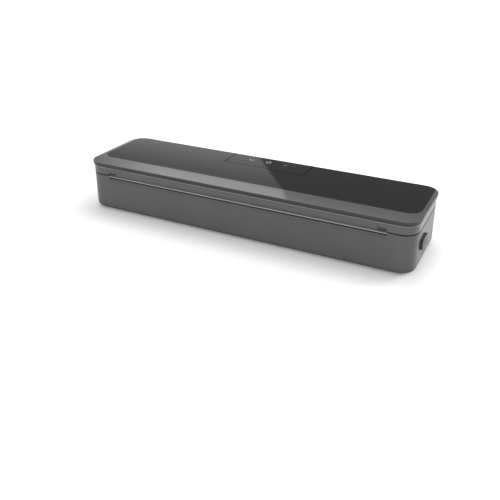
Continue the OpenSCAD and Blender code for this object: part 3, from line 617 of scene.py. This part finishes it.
def skin_faces(rows, size, first=0, closed=False):
    """Joins rows of size points, from the point first on; closed in a ring, or else capped at both ends."""
    faces = []
    if not closed:
        last = first + (rows - 1) * size
        faces = [tuple(range(first, first + size)), tuple(range(last, last + size))]
    for row in range(rows if closed else rows - 1):
        base = first + row * size
        above = first + (row + 1) % rows * size
        for step in range(size):
            beside = (step + 1) % size
            faces.append((base + step, base + beside, above + beside, above + step))
    return faces


def rounded_path(half_x, half_y, radius, pitch=3 * MM):
    """Points of a rounded rectangle about the origin, anticlockwise, each with its outward normal."""
    path = []
    corners = ((1, 1), (-1, 1), (-1, -1), (1, -1))
    for quarter, (sx, sy) in enumerate(corners):
        middle = Vector((sx * (half_x - radius), sy * (half_y - radius)))
        for step in range(ARC_STEPS + 1):
            angle = math.radians(90) * (quarter + step / ARC_STEPS)
            normal = Vector((math.cos(angle), math.sin(angle)))
            path.append((middle + radius * normal, normal))
        start, normal = path[-1]
        after = corners[(quarter + 1) % 4]
        end = Vector((after[0] * (half_x - radius), after[1] * (half_y - radius))) + radius * normal
        count = max(1, round((end - start).length / pitch))
        for step in range(1, count):
            path.append((start.lerp(end, step / count), normal))
    return path


def ring_piece(name, path, middle, section, finish, waviness=0.0):
    """Sweeps a closed section of (out, z, soft) points round a path about a point in plan."""
    verts = []
    for place, (point, normal) in enumerate(path):
        # Two slow waves that don't fall in step
        lift = waviness * (math.sin(place * 0.61) + math.sin(place * 0.23 + 1.3)) / 2
        for out, z, soft in section:
            spot = point + out * normal
            verts.append((middle[0] + spot.x, middle[1] + spot.y, z + soft * lift))
    return solid_object(name, verts, skin_faces(len(path), len(section), closed=True), finish)


def strip_piece(name, centre_y, x_half, section, finish, round_end=0.0, pitch=4 * MM, waviness=0.0):
    """Sweeps a closed section of (out, z, soft) points along X; its ends narrow over round_end."""
    count = round(2 * x_half / pitch)
    verts = []
    for place in range(count + 1):
        x = -x_half + 2 * x_half * place / count
        narrow = 1.0
        if round_end:
            inset = max(0.0, round_end - (x_half - abs(x)))
            narrow = math.sqrt(max(0.0, 1 - (inset / round_end) ** 2)) * END_TAPER + (1 - END_TAPER)
        lift = waviness * math.sin(place * 0.47) * math.sin(place * 0.11 + 0.7)
        for out, z, soft in section:
            verts.append((x, centre_y + out * narrow, z + soft * lift))
    return solid_object(name, verts, skin_faces(count + 1, len(section)), finish)


def crowned_section(half, flat_z, crown_z, crown):
    """Flat on one side and crowned on the other; soft is 1 on the points that give."""
    toward = 1 if crown_z > flat_z else -1
    shoulder = crown_z - toward * crown
    points = [(-half, flat_z, 0), (half, flat_z, 0)]
    for step in range(CROWN_STEPS + 1):
        angle = math.pi * step / CROWN_STEPS
        points.append((half * math.cos(angle), shoulder + toward * crown * math.sin(angle) ** CROWN_POWER, 1))
    return points


def printed_mark(name, outer, inner, z, finish):
    """A thin printed ring between two loops of equal length; inner may be None for a filled mark."""
    count = len(outer)
    loops = [outer] if inner is None else [outer, inner]
    verts = [(x, y, height) for height in (z, z + PRINT_T) for loop in loops for x, y in loop]
    layer = count * len(loops)
    faces = []
    for step in range(count):
        beside = (step + 1) % count
        faces.append((step, beside, layer + beside, layer + step))
        if inner is not None:
            faces.append((count + step, count + beside, layer + count + beside, layer + count + step))
            for base in (0, layer):
                faces.append((base + step, base + beside, base + count + beside, base + count + step))
    if inner is None:
        faces += [tuple(range(count)), tuple(range(layer, layer + count))]
    return solid_object(name, verts, faces, finish, smooth=False)


# ---------------------------------------------------------------- pieces


def gasket(name, node, body, crown_up):
    """A foam gasket round the trough, flat in its channel and crowned where it seals."""
    low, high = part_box(node)
    half = GASKET_W / 2
    flat_z, crown_z = (low.z, high.z) if crown_up else (high.z, low.z)
    path = rounded_path((high.x - low.x) / 2 - half, (high.y - low.y) / 2 - half, GASKET_R - half)
    section = crowned_section(half - SKIN, flat_z, crown_z, FOAM_CROWN)
    piece = ring_piece(name, path, middle_of(node), section, FINISH["foam"], waviness=FOAM_WAVE)
    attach(piece, body)
    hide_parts(node)


def pressure_pad():
    """The silicone strip that presses the bag on the heater, crowned at its underside."""
    low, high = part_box("pressure_strip")
    section = crowned_section((high.y - low.y) / 2 - SKIN, high.z, low.z, SILICONE_CROWN)
    piece = strip_piece("pressure_pad", middle_of("pressure_strip").y, high.x, section, FINISH["silicone"],
                        round_end=SILICONE_END, waviness=SILICONE_WAVE)
    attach(piece, "lid")
    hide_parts("pressure_strip")


def key_pitch():
    """Distance between the middles of the touch keys."""
    low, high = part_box("touch_pads")
    return (high.x - low.x - 2 * KEY_R) / 2


def key_pads():
    """Three foam blocks between the board and the touch strip, crowned at the sides."""
    low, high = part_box("touch_pads")
    centre = middle_of("touch_pads")
    pitch = key_pitch()
    tall = high.z - low.z
    verts, faces = [], []
    for place in (-1, 0, 1):
        faces += skin_faces(KEY_ROWS + 1, KEY_STEPS, first=len(verts))
        for row in range(KEY_ROWS + 1):
            share = row / KEY_ROWS
            swell = math.sin(math.pi * share) ** KEY_POWER
            radius = KEY_R - SKIN - KEY_CROWN * (1 - swell)
            for cosine, sine in circle(KEY_STEPS):
                verts.append((centre.x + place * pitch + radius * cosine,
                              centre.y + radius * sine, low.z + share * tall))
    piece = solid_object("key_pads", verts, faces, FINISH["foam"])
    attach(piece, "lid")
    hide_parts("touch_pads")


def tape_strip():
    """Coated cloth tape that drapes over the ribbon and lies on the bar at its edges."""
    low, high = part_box("release_tape")
    ribbon_low, ribbon_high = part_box("heating_ribbon")
    half = (high.y - low.y) / 2
    ridge = (ribbon_high.y - ribbon_low.y) / 2
    thick = high.z - low.z - TAPE_THINNER
    drop = ribbon_high.z - ribbon_low.z - TAPE_LIFT
    upper = []
    for step in range(TAPE_STEPS + 1):
        across = -half + 2 * half * step / TAPE_STEPS
        slope = min(1.0, max(0.0, (abs(across) - ridge) / (half - ridge) * TAPE_SLOPE))
        upper.append((across, high.z - drop * slope * slope * (3 - 2 * slope), 0))
    section = upper + [(across, z - thick, 0) for across, z, _ in reversed(upper)]
    piece = strip_piece("tape_strip", middle_of("release_tape").y, high.x, section, FINISH["tape"])
    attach(piece, "base")
    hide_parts("release_tape")


def rim_trim():
    """The lid wall's upper bead, under the overhang of the top plate; its light grey paints the highlight
    along the wall's top edge, and its coat adds real gloss.
    """
    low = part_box("lid_shell")[0]
    middle_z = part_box("top_plate")[0].z - BEAD_DROP
    path = rounded_path(-low.x, -low.y, CORNER_R, pitch=10 * MM)
    section = [(BEAD_OUT + BEAD_R * cosine, middle_z + BEAD_R * sine, 0)
               for cosine, sine in circle(BEAD_STEPS)]
    piece = ring_piece("rim_bead", path, (0, 0), section, FINISH["painted_highlight_bead"])
    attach(piece, "lid")


def slot_end_shade_plugs():
    """A dark oblong plug fills the bevel above the slot at each end, as painted shade where the recess ends.
    """
    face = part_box("lid_shell")[0].y
    for side, name in ((-1, "slot_end_shade_left"), (1, "slot_end_shade_right")):
        verts = []
        for depth, share in SHADE_PLUG_ROWS:
            for cosine, sine in circle(SHADE_PLUG_STEPS):
                along = math.copysign(SHADE_PLUG_HALF, cosine) + SHADE_PLUG_R * share * cosine
                verts.append((side * SHADE_PLUG_X + along, face + depth, SHADE_PLUG_Z + SHADE_PLUG_R * share * sine))
        # Dark rubber that stands in for the shade at the recess ends
        piece = solid_object(name, verts, skin_faces(len(SHADE_PLUG_ROWS), SHADE_PLUG_STEPS), FINISH["rubber"])
        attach(piece, "lid")


def coil_spring(name, low, high):
    """A helical spring along X that fills a box, its end turns closed."""
    centre = (low + high) / 2
    coil = (high.y - low.y) / 2 - WIRE_R
    run = high.x - low.x - 2 * WIRE_R
    closed = 2 * WIRE_R
    verts = []
    for step in range(COIL_TURNS * TURN_STEPS + 1):
        turn = step / TURN_STEPS
        if turn < 1:
            along = closed * turn
        elif turn > COIL_TURNS - 1:
            along = run - closed * (COIL_TURNS - turn)
        else:
            along = closed + (run - 2 * closed) * (turn - 1) / (COIL_TURNS - 2)
        angle = 2 * math.pi * turn
        for cosine, sine in circle(WIRE_SIDES):
            radius = coil + WIRE_R * cosine
            verts.append((low.x + WIRE_R + along + WIRE_R * sine,
                          centre.y + radius * math.cos(angle), centre.z + radius * math.sin(angle)))
    return solid_object(name, verts, skin_faces(COIL_TURNS * TURN_STEPS + 1, WIRE_SIDES), FINISH["steel"])


def latch_springs():
    """A coiled wire in place of each latch spring, on a mesh of its own; the real spring shortens towards the
    cage wall as its button is pressed.
    """
    for side in ("left", "right"):
        node = f"latch_spring_{side}"
        low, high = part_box(node)
        piece = coil_spring(f"spring_coil_{side}", low, high)
        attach(piece, "base")
        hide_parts(node)
        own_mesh(piece)


def mark_loop(x, y, half, power=1.0):
    """An ellipse about (x, y)."""
    return [(x + half[0] * math.copysign(abs(cosine) ** power, cosine),
             y + half[1] * math.copysign(abs(sine) ** power, sine)) for cosine, sine in circle(MARK_STEPS)]


def mark_bowl(x, y):
    """A tray-like arc about (x, y), open towards the back."""
    angles = [math.radians(BOWL_FROM + BOWL_SWEEP * step / BOWL_STEPS) for step in range(BOWL_STEPS + 1)]
    outer, inner = (
        [(x + (BOWL[0] - less) * math.cos(angle), y + (BOWL[1] - less) * math.sin(angle)) for angle in angles]
        for less in (0, BOWL_T))
    return outer + inner[::-1]


def touch_marks():
    """Generic printed marks over the touch keys."""
    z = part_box("control_panel")[1].z
    y = middle_of("touch_pads").y
    pitch = key_pitch()
    dot_x = MARK_SHIFT + pitch + DOT_SHIFT
    marks = (
        ("touch_mark_left", mark_bowl(MARK_SHIFT - pitch, y), None, "print"),
        ("touch_mark_middle", mark_loop(MARK_SHIFT, y, RING, RING_POWER),
         mark_loop(MARK_SHIFT, y, RING_HOLE, RING_POWER), "print"),
        ("touch_mark_right", mark_loop(dot_x, y, DOT), mark_loop(dot_x, y, DOT_HOLE), "faint_print"),
    )
    for name, outer, inner, finish in marks:
        piece = printed_mark(name, outer, inner, z, FINISH[finish])
        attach(piece, "lid")


# ---------------------------------------------------------------- stage

FLOOR_REACH = 6             # half side of the floor, in metres
FLOOR_COLOUR = (0.9, 0.9, 0.9, 1)
# Two parts of the floor's own glow, by the distance from the housing: from and to in metres, glow at each;
# the first dims the glow near the housing, a painted shadow round its foot
FLOOR_RAMPS = ((0, 0.036, 0.10, 0.34), (0.5, 2.5, 0, 0.25))
SKY = 0.66                  # strength of the white world as a light

# Each lamp: place, aim and size in metres, and watts
LAMPS = {
    "key": ((-0.5, 1.1, 2.3), (0, 0, 0), (1.6, 1.6), 14),
    "side": ((1.62, 2.15, 0.32), (0.1, 0, 0.03), (1.6, 0.56), 150),
    "fill": ((-0.6, -2.0, 0.6), (0, 0, 0), (1.6, 1.0), 12),
}

# The mirror cards stand on a wall at this Y, and their places are given as they lie mirrored on the top
CARD_WALL = 2.5
CARD_LEFT, CARD_RIGHT = -260 * MM, 260 * MM
CARD_FRONT, CARD_BACK = -60 * MM, 62 * MM
PANEL_FRONT = -27 * MM      # front edge of the gloss panel
# Edge between the softbox and the dark flag, from the back to the front
EDGE_BACK = (-28 * MM, CARD_BACK)
EDGE_MID = (7 * MM, 17 * MM)
EDGE_FRONT = (44 * MM, PANEL_FRONT)
EDGE_END = (60 * MM, -52 * MM)

# Each mirror card: its corners, and the light's two ends with its strength at each
MIRROR_CARDS = {
    "panel_light": (
        [(CARD_LEFT, CARD_BACK), EDGE_BACK, EDGE_MID, EDGE_FRONT, (CARD_LEFT, PANEL_FRONT)],
        (-70 * MM, 48 * MM), (-28 * MM, PANEL_FRONT), (0.83, 0.40)),
    "band_light": (
        [(CARD_LEFT, PANEL_FRONT), EDGE_FRONT, EDGE_END, (CARD_LEFT, CARD_FRONT)],
        (-190 * MM, -40 * MM), (-90 * MM, -40 * MM), (0.04, 0.84)),
    "flag": (
        [EDGE_BACK, (CARD_RIGHT, CARD_BACK), (CARD_RIGHT, CARD_FRONT), EDGE_END, EDGE_FRONT, EDGE_MID],
        (0, 0), (180 * MM, 0), (0.215, 0.215)),
}


class Glow(Graph):
    """A node material that only gives light."""

    def __init__(self, name):
        self.mat = bpy.data.materials.new(name)
        super().__init__(self.mat)
        self.nodes.clear()
        self.surface = self.add("ShaderNodeOutputMaterial").inputs["Surface"]
        self.emission = self.add("ShaderNodeEmission")
        self.where = self.add("ShaderNodeTexCoord").outputs["Object"]
        self.feed(self.surface, self.emission.outputs["Emission"])

    def strength(self, value):
        self.feed(self.emission.inputs["Strength"], value)


def floor_material():
    """A pale floor that keeps the shadow and reads as the white background; its glow is dimmer near the
    housing, a painted shadow round it.
    """
    made = Glow("floor")
    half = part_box("base_housing")[1]
    outward = made.vector("SUBTRACT", made.vector("ABSOLUTE", made.where), (half.x, half.y, 0))
    away = made.vector("LENGTH", made.vector("MAXIMUM", outward))
    # The near ramp paints shadow round the housing's foot
    level = made.maths("ADD", *(made.span(away, *ramp) for ramp in FLOOR_RAMPS))
    made.strength(made.maths("MULTIPLY", made.seen(), level))
    diffuse = made.add("ShaderNodeBsdfDiffuse", Color=FLOOR_COLOUR)
    both = made.add("ShaderNodeAddShader")
    made.feed(both.inputs[0], diffuse.outputs["BSDF"])
    made.feed(both.inputs[1], made.emission.outputs["Emission"])
    made.feed(made.surface, both.outputs["Shader"])
    return made.mat


def card_material(name, near, far, start, end):
    """Light that goes evenly from strength start at the point near to strength end at far."""
    made = Glow(name)
    run = Vector(far) - Vector(near)
    share = made.vector("DOT_PRODUCT", made.vector("SUBTRACT", made.where, near), run / run.length_squared)
    made.strength(made.span(share, 0, 1, start, end))
    return made.mat


def stage_card(name, corners, material, seen_by_camera):
    card = mesh_object(name, corners, [tuple(range(len(corners)))], material, smooth=False)
    card.visible_camera = seen_by_camera
    return card


def wall_point(x, y):
    """Point of the card wall that the camera sees mirrored in the top at (x, y)."""
    top = Vector((x, y, TOP))
    ray = top - Vector((EYE.x, EYE.y, 2 * TOP - EYE.z))
    return tuple(top + ray * ((CARD_WALL - top.y) / ray.y))


def mirror_card(name, corners, start, end, levels):
    """A light that shows only in gloss, and goes from one level at start to the other at end."""
    glow = card_material(name, wall_point(*start), wall_point(*end), *levels)
    card = stage_card(name, [wall_point(*corner) for corner in corners], glow, False)
    card.visible_diffuse = False
    card.visible_shadow = False


def make_world():
    """White to the camera and in gloss, and dimmer as a light."""
    world = bpy.data.worlds.new("world")
    made = Graph(world)
    background = made.nodes["Background"]
    background.inputs["Color"].default_value = (1, 1, 1, 1)
    made.feed(background.inputs["Strength"], made.span(made.seen(), 0, 1, SKY, 1.0))
    SCENE.world = world


def area_light(name, at, aim, size, power):
    """A soft lamp that doesn't show in gloss."""
    data = bpy.data.lights.new(name, "AREA")
    data.shape = "RECTANGLE"
    data.size, data.size_y = size
    data.energy = power
    light = bpy.data.objects.new(name, data)
    light.location = at
    light.rotation_mode = "QUATERNION"
    light.rotation_quaternion = (Vector(aim) - Vector(at)).to_track_quat("-Z", "Y")
    light.visible_glossy = False
    SCENE.collection.objects.link(light)


def make_stage():
    floor = [(sx * FLOOR_REACH, sy * FLOOR_REACH, 0) for sx, sy in ((-1, -1), (1, -1), (1, 1), (-1, 1))]
    stage_card("floor", floor, floor_material(), True)
    for name, card in MIRROR_CARDS.items():
        mirror_card(name, *card)
    for name, lamp in LAMPS.items():
        area_light(name, *lamp)


# ---------------------------------------------------------------- build

SCENE.view_settings.view_transform = "Standard"
make_camera()
dress_nodes()
gasket("foam_gasket_lower", "lower_gasket", "base", True)
gasket("foam_gasket_upper", "upper_gasket", "lid", False)
pressure_pad()
key_pads()
tape_strip()
rim_trim()
slot_end_shade_plugs()
latch_springs()
touch_marks()
make_world()
make_stage()
